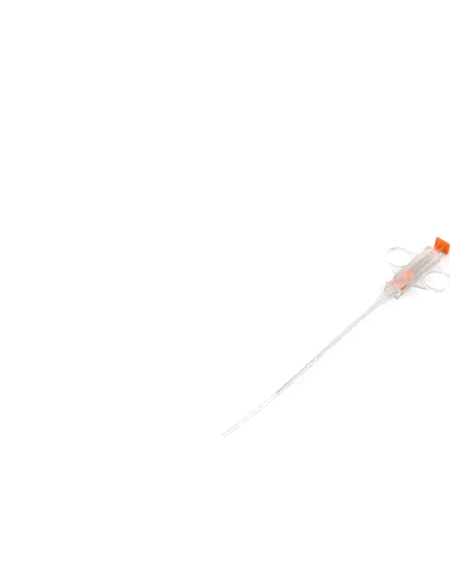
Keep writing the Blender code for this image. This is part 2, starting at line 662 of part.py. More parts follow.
def coil_point(turn, length):
    """Centre of the spring's wire after a number of turns: one closed coil at each end."""
    closed_pitch = 2.1 * WIRE_RADIUS
    open_pitch = (length - 2 * closed_pitch) / (COILS - 2)
    along = closed_pitch * min(turn, 1) + open_pitch * min(max(turn - 1, 0), COILS - 2)
    along += closed_pitch * max(turn - (COILS - 1), 0)
    angle = 2 * math.pi * turn
    return Vector((along, COIL_RADIUS * math.cos(angle), COIL_RADIUS * math.sin(angle)))


def build_spring(steel):
    """Compression spring from the carriage's ring to the rear wall, round the plunger."""
    length = SPRING_REAR - SPRING_FRONT - 2 * WIRE_RADIUS
    path = bpy.data.curves.new("drive_spring", "CURVE")
    path.dimensions = "3D"
    path.bevel_depth = WIRE_RADIUS
    path.bevel_resolution = 1
    path.use_fill_caps = True
    line = path.splines.new("POLY")
    count = COILS * COIL_STEPS + 1
    line.points.add(count - 1)
    start = Vector((SPRING_FRONT + WIRE_RADIUS, 0, 0))
    for number in range(count):
        line.points[number].co = (*(start + coil_point(number / COIL_STEPS, length)), 1)
    line.use_smooth = True
    path.materials.append(steel)
    spring = bpy.data.objects.new("drive_spring", path)
    bpy.context.collection.objects.link(spring)
    spring.location.z = AXIS_HEIGHT
    return spring


def eased(value):
    """A step from 0 to 1 with a soft start and end."""
    value = min(max(value, 0.0), 1.0)
    return value * value * (3 - 2 * value)


def sheath_centre(ahead):
    """Centre of the sheath, that far ahead of its mouth and relative to the needle axis.

    It sags until it hangs on the needle and wanders a little from side to side. Past the
    stylet's furthest reach it bends down to the table.
    """
    length = SHEATH_REACH - 2 * SEAT_GAP
    bend_start = CANNULA_REACH + STYLET_PROUD + THROW
    bend = max(0.0, (ahead - bend_start) / (length - bend_start)) ** 2
    low = AXIS_HEIGHT - SHEATH_RADIUS - TABLE_GAP
    sag = SHEATH_SAG * eased((ahead - SAG_START) / SAG_LENGTH)
    wander = SHEATH_WANDER * eased(ahead / SHEATH_FLARE)
    sideways = wander * math.sin(2 * math.pi * (ahead - SAG_START) / WANDER_LENGTH)
    return Vector((FRONT - 2 * SEAT_GAP - ahead, sideways + SHEATH_TURN * bend,
                   -sag - (low - SHEATH_SAG) * bend))


def sheath_radius(ahead):
    """Outer radius: a trumpet flare at the mouth, then the plain tube."""
    flare = max(0.0, 1 - ahead / SHEATH_FLARE) ** SHEATH_FLARE_POWER
    return SHEATH_RADIUS + (SHEATH_MOUTH_RADIUS - SHEATH_RADIUS) * flare


def build_sheath(clear, parent):
    """Soft tube lofted along its lie, open at both ends, given its wall by a Solidify."""
    flare_stations = [SHEATH_FLARE * n / 9 for n in range(9)]
    length = SHEATH_REACH - 2 * SEAT_GAP
    tube_stations = [SHEATH_FLARE + (length - SHEATH_FLARE) * n / 26 for n in range(27)]
    bm = bmesh.new()
    rings = []
    for ahead in flare_stations + tube_stations:
        centre = sheath_centre(ahead)
        tangent = (sheath_centre(ahead + WIRE_RADIUS) - sheath_centre(ahead - WIRE_RADIUS)).normalized()
        level = Vector((0, 0, 1)).cross(tangent).normalized()
        upright = tangent.cross(level)
        radius = sheath_radius(ahead)
        ring = []
        for side in range(SHEATH_SIDES):
            angle = 2 * math.pi * side / SHEATH_SIDES
            outward = math.cos(angle) * level + math.sin(angle) * upright
            ring.append(bm.verts.new(centre + radius * outward))
        rings.append([bm.edges.new((a, b)) for a, b in zip(ring, ring[1:] + ring[:1])])
    for near, far in zip(rings, rings[1:]):
        bmesh.ops.bridge_loops(bm, edges=near + far)
    sheath = add_object("sheath", bm, clear, parent)
    wall = sheath.modifiers.new("wall", "SOLIDIFY")
    wall.thickness = SHEATH_WALL
    wall.offset = -1.0
    wall.use_even_offset = True
    return sheath


def add_slide(name, parent=None):
    """An empty on the needle axis that a moving group hangs from."""
    empty = bpy.data.objects.new(name, None)
    empty.empty_display_size = 0.01
    bpy.context.collection.objects.link(empty)
    if parent:
        empty.parent = parent
    else:
        empty.location.z = AXIS_HEIGHT
    return empty


def main():
    for old in list(bpy.data.objects):
        bpy.data.objects.remove(old, do_unlink=True)
    clear = material("clear_plastic", (0.86, 0.84, 0.80), 0.12, alpha=0.45)
    sheath_clear = material("sheath_plastic", (0.90, 0.91, 0.90), 0.25, alpha=0.45)
    orange = material("orange_plastic", (0.90, 0.22, 0.03), 0.35)
    steel = material("needle_steel", (0.62, 0.63, 0.64), 0.22, metallic=1.0)
    wire = material("spring_steel", (0.45, 0.45, 0.46), 0.30, metallic=1.0)

    carriage_slide = add_slide("cocking_slide")
    plunger_slide = add_slide("plunger_slide", carriage_slide)
    sheath_slide = add_slide("sheath_slide")

    cutters = housing_cutters()
    build_housing_base(clear, cutters)
    build_housing_cover(clear, cutters)
    build_needle_guide(clear)
    build_spring(wire)
    build_carriage(orange, carriage_slide)
    build_cannula(steel, carriage_slide)
    build_plunger(orange, plunger_slide)
    build_stylet_hub(orange, plunger_slide)
    build_stylet(steel, plunger_slide)
    build_sheath(sheath_clear, sheath_slide)
    bpy.context.view_layer.update()


main()
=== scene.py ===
# Core biopsy needle: clear handle with finger rings, orange mechanism, steel needle, clear sheath.
# Metres, in the part's own frame: +X towards the thumb plate, +Z up, table at Z = 0.
import math

import bmesh
import bpy
from mathutils import Matrix, Vector


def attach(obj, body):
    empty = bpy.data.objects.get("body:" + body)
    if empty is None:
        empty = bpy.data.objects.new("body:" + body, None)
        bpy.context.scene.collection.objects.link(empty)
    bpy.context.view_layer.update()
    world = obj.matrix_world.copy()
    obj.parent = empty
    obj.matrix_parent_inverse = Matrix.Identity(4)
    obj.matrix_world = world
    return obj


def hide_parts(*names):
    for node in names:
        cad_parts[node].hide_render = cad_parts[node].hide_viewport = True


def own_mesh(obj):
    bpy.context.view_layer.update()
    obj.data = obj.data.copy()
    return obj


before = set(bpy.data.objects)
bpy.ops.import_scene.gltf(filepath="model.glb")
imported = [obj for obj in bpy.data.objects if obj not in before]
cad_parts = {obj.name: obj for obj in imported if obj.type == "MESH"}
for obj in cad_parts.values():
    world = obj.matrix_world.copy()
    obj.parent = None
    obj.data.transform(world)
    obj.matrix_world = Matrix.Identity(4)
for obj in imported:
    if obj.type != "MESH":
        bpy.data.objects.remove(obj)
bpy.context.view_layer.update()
print("frame loaded:", len(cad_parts), "nodes")

mergeDistance = 0.000001
overlapForCut = 0.0003       # how far a cutter runs past a face
biteForJoin = 0.0006         # how far a body runs into the body it joins
needleHeight = 0.006


def toObject(name, mesh):
    bmesh.ops.remove_doubles(mesh, verts=mesh.verts, dist=mergeDistance)
    bmesh.ops.recalc_face_normals(mesh, faces=mesh.faces)
    data = bpy.data.meshes.new(name)
    mesh.to_mesh(data)
    mesh.free()
    piece = bpy.data.objects.new(name, data)
    bpy.context.scene.collection.objects.link(piece)
    return piece


def settleModifiers(piece):
    # the modifiers' result becomes the piece's own mesh
    shown = piece.evaluated_get(bpy.context.evaluated_depsgraph_get())
    final = bpy.data.meshes.new_from_object(shown)
    old = piece.data
    piece.modifiers.clear()
    piece.data = final
    final.name = old.name + "Final"
    bpy.data.meshes.remove(old)


def combine(piece, mesh, operation="UNION"):
    tool = toObject("tool", mesh)
    step = piece.modifiers.new(operation.lower(), "BOOLEAN")
    step.operation = operation
    step.solver = "EXACT"
    step.object = tool
    settleModifiers(piece)
    bpy.data.objects.remove(tool)


def easeEdges(piece, width, segments=2, angle=33):
    bevel = piece.modifiers.new("easedEdges", "BEVEL")
    bevel.width = width
    bevel.segments = segments
    bevel.limit_method = "ANGLE"
    bevel.angle_limit = math.radians(angle)
    bevel.use_clamp_overlap = True
    bevel.miter_outer = "MITER_ARC"
    settleModifiers(piece)


def smoothShade(piece, angle=38):
    piece.data.shade_smooth()
    piece.data.set_sharp_from_angle(angle=math.radians(angle))


def block(low, high):
    low = Vector(low)
    high = Vector(high)
    mesh = bmesh.new()
    place = Matrix.Translation((low + high) / 2) @ Matrix.Diagonal((*(high - low), 1.0))
    bmesh.ops.create_cube(mesh, size=1.0, matrix=place)
    return mesh


def edgesAlong(mesh, axis):
    # edges that run along one axis: 0, 1 or 2
    across = [n for n in range(3) if n != axis]
    return [e for e in mesh.edges
            if all(abs(e.verts[0].co[n] - e.verts[1].co[n]) < mergeDistance for n in across)]


def edgesAt(mesh, axis, place):
    # edges that lie in the plane at that place on the axis
    return [e for e in mesh.edges if all(abs(v.co[axis] - place) < mergeDistance for v in e.verts)]


def roundOff(mesh, edges, radius, segments):
    bmesh.ops.bevel(mesh, geom=edges, offset=radius, segments=segments, profile=0.5,
                    affect="EDGES", clamp_overlap=True, material=-1)


def rod(front, rear, radius, sides):
    mesh = bmesh.new()
    middle = Matrix.Translation(((front + rear) / 2, 0, needleHeight))
    lying = Matrix.Rotation(math.pi / 2, 4, "Y")
    bmesh.ops.create_cone(mesh, cap_ends=True, segments=sides, radius1=radius, radius2=radius,
                          depth=rear - front, matrix=middle @ lying)
    return mesh


def turned(outline, sides):
    # outline of (x, radius) points, spun about the needle's axis
    mesh = bmesh.new()
    points = [mesh.verts.new((x, 0, needleHeight + radius)) for x, radius in outline]
    lines = [mesh.edges.new(pair) for pair in zip(points, points[1:] + points[:1])]
    bmesh.ops.spin(mesh, geom=points + lines, cent=(0, 0, needleHeight), axis=(1, 0, 0),
                   angle=2 * math.pi, steps=sides, use_merge=True, use_duplicate=False)
    return mesh


def slab(outline, axis, start, end):
    # flat outline pushed along Y (axis 1) or Z (axis 2)
    mesh = bmesh.new()
    if axis == 2:
        corners = [mesh.verts.new((a, b, start)) for a, b in outline]
    else:
        corners = [mesh.verts.new((a, start, b)) for a, b in outline]
    face = mesh.faces.new(corners)
    pushed = bmesh.ops.extrude_face_region(mesh, geom=[face])["geom"]
    shift = Vector((0, 0, 0))
    shift[axis] = end - start
    moved = [v for v in pushed if isinstance(v, bmesh.types.BMVert)]
    bmesh.ops.translate(mesh, verts=moved, vec=shift)
    return mesh


def finishPiece(piece, material, slot, body, *nodes):
    piece.data.materials.clear()
    piece.data.materials.append(material)
    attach(piece, body)
    if nodes:
        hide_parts(*nodes)
    print("made", piece.name, len(piece.data.polygons), "faces")


cameraSettings = {
    "place": (-0.5500, -0.2896, 0.6290), "tilt": 43.3, "turn": -46.7, "lens": 62.5,
    "sensor": 36.0, "near": 0.01, "far": 20,
}
floorSettings = {"size": 6.0, "colour": 0.94, "lift": 0.13}
lightSettings = {
    "worldLevel": 0.64,
    "key": {"place": (1.36, -0.92, 1.58), "size": 1.5, "power": 15.0},
    "fill": {"place": (-1.50, 1.20, 1.10), "size": 2.0, "power": 17.5},
}


def makeCamera():
    data = bpy.data.cameras.new("photoCamera")
    data.sensor_fit = "VERTICAL"
    data.sensor_height = cameraSettings["sensor"]
    data.lens = cameraSettings["lens"]
    data.clip_start = cameraSettings["near"]
    data.clip_end = cameraSettings["far"]
    camera = bpy.data.objects.new("photoCamera", data)
    camera.location = cameraSettings["place"]
    tilt, turn = (math.radians(cameraSettings[name]) for name in ("tilt", "turn"))
    camera.rotation_euler = (tilt, 0, turn)
    bpy.context.scene.collection.objects.link(camera)
    bpy.context.scene.camera = camera


def mathStep(tree, operation, first, second=None):
    # the second value is a number or another node's output
    step = tree.nodes.new("ShaderNodeMath")
    step.operation = operation
    tree.links.new(first, step.inputs[0])
    if isinstance(second, bpy.types.NodeSocket):
        tree.links.new(second, step.inputs[1])
    elif second is not None:
        step.inputs[1].default_value = second
    return step.outputs[0]


def seenDirectly(tree):
    # 1 for rays from the camera and for what mirrors and clear plastic show, 0 for light
    path = tree.nodes.new("ShaderNodeLightPath").outputs
    mirrored = mathStep(tree, "MAXIMUM", path["Is Camera Ray"], path["Is Glossy Ray"])
    return mathStep(tree, "MAXIMUM", mirrored, path["Is Transmission Ray"])


def makeWorld():
    world = bpy.data.worlds.new("studio")
    world.use_nodes = True
    tree = world.node_tree
    background = tree.nodes["Background"]
    background.inputs["Color"].default_value = (1, 1, 1, 1)
    level = tree.nodes.new("ShaderNodeMapRange")
    level.inputs["To Min"].default_value = lightSettings["worldLevel"]
    level.inputs["To Max"].default_value = 1.0
    tree.links.new(seenDirectly(tree), level.inputs["Value"])
    tree.links.new(level.outputs["Result"], background.inputs["Strength"])
    bpy.context.scene.world = world


def makeFloor():
    half = floorSettings["size"] / 2
    mesh = bmesh.new()
    bmesh.ops.create_grid(mesh, x_segments=1, y_segments=1, size=half)
    floor = toObject("tableTop", mesh)
    made = bpy.data.materials.new("paleTable")
    made.use_nodes = True
    tree = made.node_tree
    shader = tree.nodes["Principled BSDF"]
    colour = floorSettings["colour"]
    shader.inputs["Base Color"].default_value = (colour, colour, colour, 1)
    shader.inputs["Roughness"].default_value = 1.0
    shader.inputs["Specular IOR Level"].default_value = 0.0
    shader.inputs["Emission Color"].default_value = (1, 1, 1, 1)
    # the lift takes the lit floor up to white and leaves its shadow
    lift = mathStep(tree, "MULTIPLY", seenDirectly(tree), floorSettings["lift"])
    tree.links.new(lift, shader.inputs["Emission Strength"])
    floor.data.materials.append(made)


def makeLight(name):
    settings = lightSettings[name]
    data = bpy.data.lights.new(name + "Light", "AREA")
    data.shape = "SQUARE"
    data.size = settings["size"]
    data.energy = settings["power"]
    lamp = bpy.data.objects.new(name + "Light", data)
    lamp.location = settings["place"]
    lamp.rotation_euler = (-Vector(settings["place"])).to_track_quat("-Z", "Y").to_euler()
    bpy.context.scene.collection.objects.link(lamp)


makeCamera()
makeWorld()
makeFloor()
makeLight("key")
makeLight("fill")
bpy.context.scene.view_settings.view_transform = "Standard"
print("camera, floor and light set")


def startMaterial(name):
    made = bpy.data.materials.new(name)
    made.use_nodes = True
    tree = made.node_tree
    return made, tree, tree.nodes["Principled BSDF"]


def noise(tree, scale, detail, stretch=(1, 1, 1)):
    place = tree.nodes.new("ShaderNodeTexCoord")
    mapping = tree.nodes.new("ShaderNodeMapping")
    mapping.inputs["Scale"].default_value = stretch
    texture = tree.nodes.new("ShaderNodeTexNoise")
    texture.inputs["Scale"].default_value = scale
    texture.inputs["Detail"].default_value = detail
    tree.links.new(place.outputs["Object"], mapping.inputs["Vector"])
    tree.links.new(mapping.outputs["Vector"], texture.inputs["Vector"])
    return texture.outputs["Fac"]


def objectPlace(tree, axis):
    place = tree.nodes.new("ShaderNodeTexCoord")
    split = tree.nodes.new("ShaderNodeSeparateXYZ")
    tree.links.new(place.outputs["Object"], split.inputs["Vector"])
    return split.outputs[axis]


def between(tree, value, low, high, fromLow=0.3, fromHigh=0.7):
    ramp = tree.nodes.new("ShaderNodeMapRange")
    ramp.inputs["From Min"].default_value = fromLow
    ramp.inputs["From Max"].default_value = fromHigh
    ramp.inputs["To Min"].default_value = low
    ramp.inputs["To Max"].default_value = high
    tree.links.new(value, ramp.inputs["Value"])
    return ramp.outputs["Result"]


def blendColours(tree, factor, first, second):
    mix = tree.nodes.new("ShaderNodeMix")
    mix.data_type = "RGBA"
    mix.inputs["A"].default_value = (*first, 1)
    mix.inputs["B"].default_value = (*second, 1)
    tree.links.new(factor, mix.inputs["Factor"])
    return mix.outputs["Result"]


def tintOver(tree, factor, under, tint):
    mix = tree.nodes.new("ShaderNodeMix")
    mix.data_type = "RGBA"
    mix.inputs["B"].default_value = (*tint, 1)
    tree.links.new(factor, mix.inputs["Factor"])
    tree.links.new(under, mix.inputs["A"])
    return mix.outputs["Result"]


def roughFrom(tree, shader, value, look):
    rough = between(tree, value, look["roughLow"], look["roughHigh"])
    tree.links.new(rough, shader.inputs["Roughness"])


def addBump(tree, shader, value, depth):
    bump = tree.nodes.new("ShaderNodeBump")
    bump.inputs["Strength"].default_value = 1.0
    bump.inputs["Distance"].default_value = depth
    tree.links.new(value, bump.inputs["Height"])
    tree.links.new(bump.outputs["Normal"], shader.inputs["Normal"])


def letLampsThrough(tree, shader, tint):
    # lamps reach what lies behind the clear plastic
    path = tree.nodes.new("ShaderNodeLightPath")
    clear = tree.nodes.new("ShaderNodeBsdfTransparent")
    clear.inputs["Color"].default_value = (*tint, 1)
    mix = tree.nodes.new("ShaderNodeMixShader")
    output = tree.nodes["Material Output"]
    tree.links.new(path.outputs["Is Shadow Ray"], mix.inputs["Fac"])
    tree.links.new(shader.outputs["BSDF"], mix.inputs[1])
    tree.links.new(clear.outputs["BSDF"], mix.inputs[2])
    tree.links.new(mix.outputs["Shader"], output.inputs["Surface"])


def awayFromHandle(tree, near, far):
    # 0 inside the handle's sides, rising to 1 out on the finger rings
    distance = mathStep(tree, "ABSOLUTE", objectPlace(tree, "Y"))
    return between(tree, distance, 0.0, 1.0, near, far)


def clearTint(tree, shader, factor, look):
    # two tints drift over the piece, and painted shade darkens it where it is seen on the slant
    face = blendColours(tree, factor, look["tintA"], look["tintB"])
    if "ringTint" in look:
        onRings = awayFromHandle(tree, look["ringFrom"], look["ringTo"])
        face = tintOver(tree, onRings, face, look["ringTint"])
    slant = tree.nodes.new("ShaderNodeLayerWeight")
    slant.inputs["Blend"].default_value = 0.5
    # painted shade: the colour goes darker where a face is seen on the slant
    edge = between(tree, slant.outputs["Facing"], 0.0, 1.0, look["slantFrom"], 1.0)
    tree.links.new(tintOver(tree, edge, face, look["slantShadeTint"]), shader.inputs["Base Color"])


def clearBody(shader, look):
    shader.inputs["Transmission Weight"].default_value = look["clarity"]
    shader.inputs["IOR"].default_value = look["ior"]
    shader.inputs["Coat Weight"].default_value = look["coat"]
    shader.inputs["Coat Roughness"].default_value = look["coatRough"]
    shader.inputs["Coat IOR"].default_value = look["coatIor"]


clearLook = {
    # the slant tint is painted shade for faces seen edge-on
    "tintA": (0.992, 0.957, 0.930), "tintB": (0.972, 0.935, 0.903), "slantShadeTint": (0.90, 0.87, 0.85),
    "slantFrom": 0.7, "ringTint": (0.945, 0.947, 0.935), "ringFrom": 0.0072, "ringTo": 0.0100,
    "flowScale": 90, "flowDetail": 2.0, "flowStretch": (0.35, 1, 1), "flowDepth": 0.00003,
    "rubScale": 700, "rubDetail": 5.0, "roughLow": 0.015, "roughHigh": 0.06,
    "clarity": 0.77, "ior": 1.42, "coat": 0.3, "coatRough": 0.08, "coatIor": 1.5,
    "lampTint": (0.975, 0.965, 0.955),
}


def makeClearPlastic():
    look = clearLook
    made, tree, shader = startMaterial("clearHandlePlastic")
    clearBody(shader, look)
    flow = noise(tree, look["flowScale"], look["flowDetail"], look["flowStretch"])
    rub = noise(tree, look["rubScale"], look["rubDetail"])
    clearTint(tree, shader, flow, look)
    roughFrom(tree, shader, rub, look)
    addBump(tree, shader, flow, look["flowDepth"])
    letLampsThrough(tree, shader, look["lampTint"])
    return made


sheathLook = {
    "tintA": (0.952, 0.952, 0.948), "tintB": (0.930, 0.930, 0.928),
    # the slant tint is strong painted shade that greys the tube's sides seen edge-on
    "slantShadeTint": (0.72, 0.73, 0.735), "slantFrom": 0.45,
    "drawScale": 1500, "drawDetail": 3.0, "drawStretch": (0.02, 1, 1), "drawDepth": 0.000006,
    "roughLow": 0.02, "roughHigh": 0.06, "clarity": 0.88, "ior": 1.12, "coat": 0.5,
    "coatRough": 0.16, "coatIor": 1.5, "lampTint": (0.98, 0.98, 0.98),
}


def makeSheathPlastic():
    look = sheathLook
    made, tree, shader = startMaterial("clearSheathPlastic")
    clearBody(shader, look)
    drawn = noise(tree, look["drawScale"], look["drawDetail"], look["drawStretch"])
    clearTint(tree, shader, drawn, look)
    roughFrom(tree, shader, drawn, look)
    addBump(tree, shader, drawn, look["drawDepth"])
    letLampsThrough(tree, shader, look["lampTint"])
    return made


orangeLook = {
    "tintA": (1.0, 0.30, 0.009), "tintB": (0.96, 0.14, 0.003), "flowScale": 160,
    "flowDetail": 3.0, "grainScale": 5200, "grainDetail": 2.0, "grainDepth": 0.000012,
    "roughLow": 0.26, "roughHigh": 0.40, "glow": 0.20, "glowRadius": (1.0, 0.35, 0.1),
    "glowDepth": 0.0012, "ior": 1.52,
}


def makeOrangePlastic():
    look = orangeLook
    made, tree, shader = startMaterial("orangePlastic")
    flow = noise(tree, look["flowScale"], look["flowDetail"])
    grain = noise(tree, look["grainScale"], look["grainDetail"])
    colour = blendColours(tree, flow, look["tintA"], look["tintB"])
    tree.links.new(colour, shader.inputs["Base Color"])
    roughFrom(tree, shader, grain, look)
    shader.inputs["IOR"].default_value = look["ior"]
    shader.inputs["Subsurface Weight"].default_value = look["glow"]
    shader.inputs["Subsurface Radius"].default_value = look["glowRadius"]
    shader.inputs["Subsurface Scale"].default_value = look["glowDepth"]
    addBump(tree, shader, grain, look["grainDepth"])
    return made


steelLook = {
    "tintA": (0.64, 0.645, 0.65), "tintB": (0.52, 0.525, 0.535),
    "grindScale": 9000, "grindDetail": 2.0, "grindStretch": (1, 0.05, 0.05),
    "grindDepth": 0.000003, "roughLow": 0.16, "roughHigh": 0.30,
    "markPitch": 0.010, "markShare": 0.035, "markTint": (0.30, 0.30, 0.31),
}


def makeNeedleSteel():
    # ground round the tube, with a fine ring mark at each centimetre
    look = steelLook
    made, tree, shader = startMaterial("needleSteel")
    shader.inputs["Metallic"].default_value = 1.0
    grind = noise(tree, look["grindScale"], look["grindDetail"], look["grindStretch"])
    steps = mathStep(tree, "DIVIDE", objectPlace(tree, "X"), look["markPitch"])
    fromMark = mathStep(tree, "PINGPONG", steps, 0.5)
    mark = mathStep(tree, "LESS_THAN", fromMark, look["markShare"] / 2)
    ground = blendColours(tree, grind, look["tintA"], look["tintB"])
    tree.links.new(tintOver(tree, mark, ground, look["markTint"]), shader.inputs["Base Color"])
    roughFrom(tree, shader, grind, look)
    addBump(tree, shader, grind, look["grindDepth"])
    return made


wireLook = {
    "tintA": (0.42, 0.42, 0.43), "tintB": (0.27, 0.27, 0.28), "drawScale": 2600,
    "drawDetail": 3.0, "drawStretch": (1, 0.25, 0.25), "drawDepth": 0.000004,
    "roughLow": 0.22, "roughHigh": 0.38,
}


def makeSpringWire():
    look = wireLook
    made, tree, shader = startMaterial("springWire")
    shader.inputs["Metallic"].default_value = 1.0
    drawn = noise(tree, look["drawScale"], look["drawDetail"], look["drawStretch"])
    colour = blendColours(tree, drawn, look["tintA"], look["tintB"])
    tree.links.new(colour, shader.inputs["Base Color"])
    roughFrom(tree, shader, drawn, look)
    addBump(tree, shader, drawn, look["drawDepth"])
    return made


clearPlastic = makeClearPlastic()
sheathPlastic = makeSheathPlastic()
orangePlastic = makeOrangePlastic()
needleSteel = makeNeedleSteel()
springWire = makeSpringWire()
print("materials made")


shell = {
    "front": -0.0325, "rear": 0.0325, "halfWidth": 0.0075, "height": 0.0108, "seam": 0.00008,
    "sideWall": 0.0013, "floorWall": 0.0013, "roofWall": 0.0013, "frontWall": 0.003,
    "rearWall": 0.0025, "seatFront": 0.0202, "seatRear": 0.0214, "corner": 0.0010,
    "roofRound": 0.0007, "floorRound": 0.0008, "cavityRear": 0.0034, "cavityCorner": 0.0008,
    "boreRadius": 0.004425, "boreLap": 0.001, "noseHole": 0.0025, "rodHole": 0.0018,
    "slotHalfWidth": 0.0033, "slotHalfHeight": 0.0025, "slotCorner": 0.0005,
    "ridgeFront": -0.0078, "ridgeRear": 0.0317, "ridgeRadius": 0.005325, "ridgeRound": 0.0006,
    "ridgeFoot": 0.0018, "edge": 0.00012, "cornerSteps": 10, "roofSteps": 8, "floorSteps": 4,
    "cavitySteps": 5, "slotSteps": 4, "ridgeSteps": 4, "boreSides": 80, "ridgeSides": 96,
}
window = {"front": -0.0292, "topRear": -0.0221, "footRear": -0.0182, "inner": 0.0057}
rings = {
    "x": 0.007, "y": 0.0205, "holeRadius": 0.01075, "wall": 0.0025, "low": 0.0018,
    "depth": 0.0036, "edge": 0.0009, "steps": 96, "webDepth": 0.0022, "webFront": -0.0125,
    "webRear": 0.022, "hollow": 0.0045, "arcSteps": 40, "edgeSteps": 5, "hollowSteps": 10,
}
latchLedges = {
    "catch": -0.0170, "length": 0.0011, "ramp": 0.0014, "inner": 0.0055, "sink": 0.0004,
    "low": 0.0006, "top": 0.0029,
}
pegs = {
    "radius": 0.0006, "height": 0.0012, "root": 0.001, "y": 0.0061, "x": (0.0076, 0.02985),
    "sideGap": 0.00005, "endGap": 0.0001, "sides": 24,
}


def shellBlock():
    s = shell
    mesh = block((s["front"], -s["halfWidth"], 0), (s["rear"], s["halfWidth"], s["height"]))
    roundOff(mesh, edgesAlong(mesh, 2), s["corner"], s["cornerSteps"])
    roundOff(mesh, edgesAt(mesh, 2, s["height"]), s["roofRound"], s["roofSteps"])
    roundOff(mesh, edgesAt(mesh, 2, 0.0), s["floorRound"], s["floorSteps"])
    return mesh


def keepSide(mesh, height, above):
    # cuts the body level, closes the cut and keeps what is above or below
    everything = mesh.verts[:] + mesh.edges[:] + mesh.faces[:]
    away = (0, 0, -1 if above else 1)
    cut = bmesh.ops.bisect_plane(mesh, geom=everything, plane_co=(0, 0, height), plane_no=away,
                                 clear_outer=True)["geom_cut"]
    rim = [e for e in cut if isinstance(e, bmesh.types.BMEdge)]
    bmesh.ops.edgeloop_fill(mesh, edges=rim)


def hollowShell(piece):
    s = shell
    side = s["halfWidth"] - s["sideWall"]
    cavity = block((s["front"] + s["frontWall"], -side, s["floorWall"]),
                   (s["cavityRear"], side, s["height"] - s["roofWall"]))
    roundOff(cavity, edgesAlong(cavity, 2), s["cavityCorner"], s["cavitySteps"])
    combine(piece, cavity, "DIFFERENCE")
    rear = s["rear"] - s["rearWall"]
    over = overlapForCut
    bores = ((s["cavityRear"] - s["boreLap"], s["seatFront"], s["boreRadius"]),
             (s["seatRear"], rear, s["boreRadius"]),
             (s["front"] - over, s["front"] + s["frontWall"] + over, s["noseHole"]),
             (s["seatFront"] - over, s["seatRear"] + over, s["rodHole"]))
    for start, end, radius in bores:
        combine(piece, rod(start, end, radius, s["boreSides"]), "DIFFERENCE")
    slot = block((rear - over, -s["slotHalfWidth"], needleHeight - s["slotHalfHeight"]),
                 (s["rear"] + over, s["slotHalfWidth"], needleHeight + s["slotHalfHeight"]))
    roundOff(slot, edgesAlong(slot, 0), s["slotCorner"], s["slotSteps"])
    combine(piece, slot, "DIFFERENCE")


def cutWindows(piece):
    w = window
    low = needleHeight - overlapForCut
    high = shell["height"] + overlapForCut
    outline = [(w["front"], low), (w["footRear"], low), (w["footRear"], needleHeight),
               (w["topRear"], shell["height"]), (w["topRear"], high), (w["front"], high)]
    for sign in (1, -1):
        outside = sign * (shell["halfWidth"] + overlapForCut)
        combine(piece, slab(outline, 1, sign * w["inner"], outside), "DIFFERENCE")


def ringBand(y):
    r = rings
    mesh = bmesh.new()
    inner = r["x"] + r["holeRadius"]
    outer = inner + r["wall"]
    top = r["low"] + r["depth"]
    section = ((inner, r["low"]), (outer, r["low"]), (outer, top), (inner, top))
    face = mesh.faces.new([mesh.verts.new((x, y, z)) for x, z in section])
    bmesh.ops.bevel(mesh, geom=face.verts[:], offset=r["edge"], segments=r["edgeSteps"],
                    profile=0.5, affect="VERTICES", clamp_overlap=True, material=-1)
    outline = mesh.edges[:]
    bmesh.ops.delete(mesh, geom=mesh.faces[:], context="FACES_ONLY")
    bmesh.ops.spin(mesh, geom=mesh.verts[:] + outline, cent=(r["x"], y, 0), axis=(0, 0, 1),
                   angle=2 * math.pi, steps=r["steps"], use_merge=True, use_duplicate=False)
    return mesh


def wingOutline(sign):
    # two straight edges that leave the handle and run onto the ring
    r = rings
    reach = r["holeRadius"] + r["wall"]
    root = shell["halfWidth"] - biteForJoin
    centre = Vector((r["x"], r["y"]))
    ends = []
    for x, turn in ((r["webRear"], 1), (r["webFront"], -1)):
        leg = Vector((x, shell["halfWidth"])) - centre
        ends.append(math.atan2(leg.y, leg.x) + turn * math.acos(reach / leg.length))
    first, last = ends[0], ends[1] % (2 * math.pi)
    arc = []
    for n in range(r["arcSteps"] + 1):
        angle = first + (last - first) * n / r["arcSteps"]
        arc.append((centre.x + reach * math.cos(angle), centre.y + reach * math.sin(angle)))
    wall = shell["halfWidth"]
    front = r["webFront"] - r["hollow"]
    rear = r["webRear"] + r["hollow"]
    outline = [(front, root), (rear, root), (rear, wall), (r["webRear"], wall), *arc,
               (r["webFront"], wall), (front, wall)]
    return [(x, sign * y) for x, y in outline]


def makeWing(sign):
    r = rings
    middle = r["low"] + r["depth"] / 2
    half = r["webDepth"] / 2
    plate = slab(wingOutline(sign), 2, middle - half, middle + half)
    hollows = [e for x in (r["webFront"], r["webRear"]) for e in edgesAlong(plate, 2)
               if abs(e.verts[0].co.x - x) < mergeDistance
               and abs(e.verts[0].co.y - sign * shell["halfWidth"]) < mergeDistance]
    roundOff(plate, hollows, r["hollow"] - mergeDistance, r["hollowSteps"])
    wing = toObject("wing", plate)
    hole = bmesh.new()
    radius = r["holeRadius"] + r["wall"] / 2
    place = Matrix.Translation((r["x"], sign * r["y"], middle))
    bmesh.ops.create_cone(hole, cap_ends=True, segments=r["steps"], radius1=radius,
                          radius2=radius, depth=2 * r["depth"], matrix=place)
    combine(wing, hole, "DIFFERENCE")
    combine(wing, ringBand(sign * r["y"]))
    mesh = bmesh.new()
    mesh.from_mesh(wing.data)
    bpy.data.objects.remove(wing)
    return mesh


def pegBody(x, y, low, high, radius):
    mesh = bmesh.new()
    place = Matrix.Translation((x, y, (low + high) / 2))
    bmesh.ops.create_cone(mesh, cap_ends=True, segments=pegs["sides"], radius1=radius,
                          radius2=radius, depth=high - low, matrix=place)
    return mesh


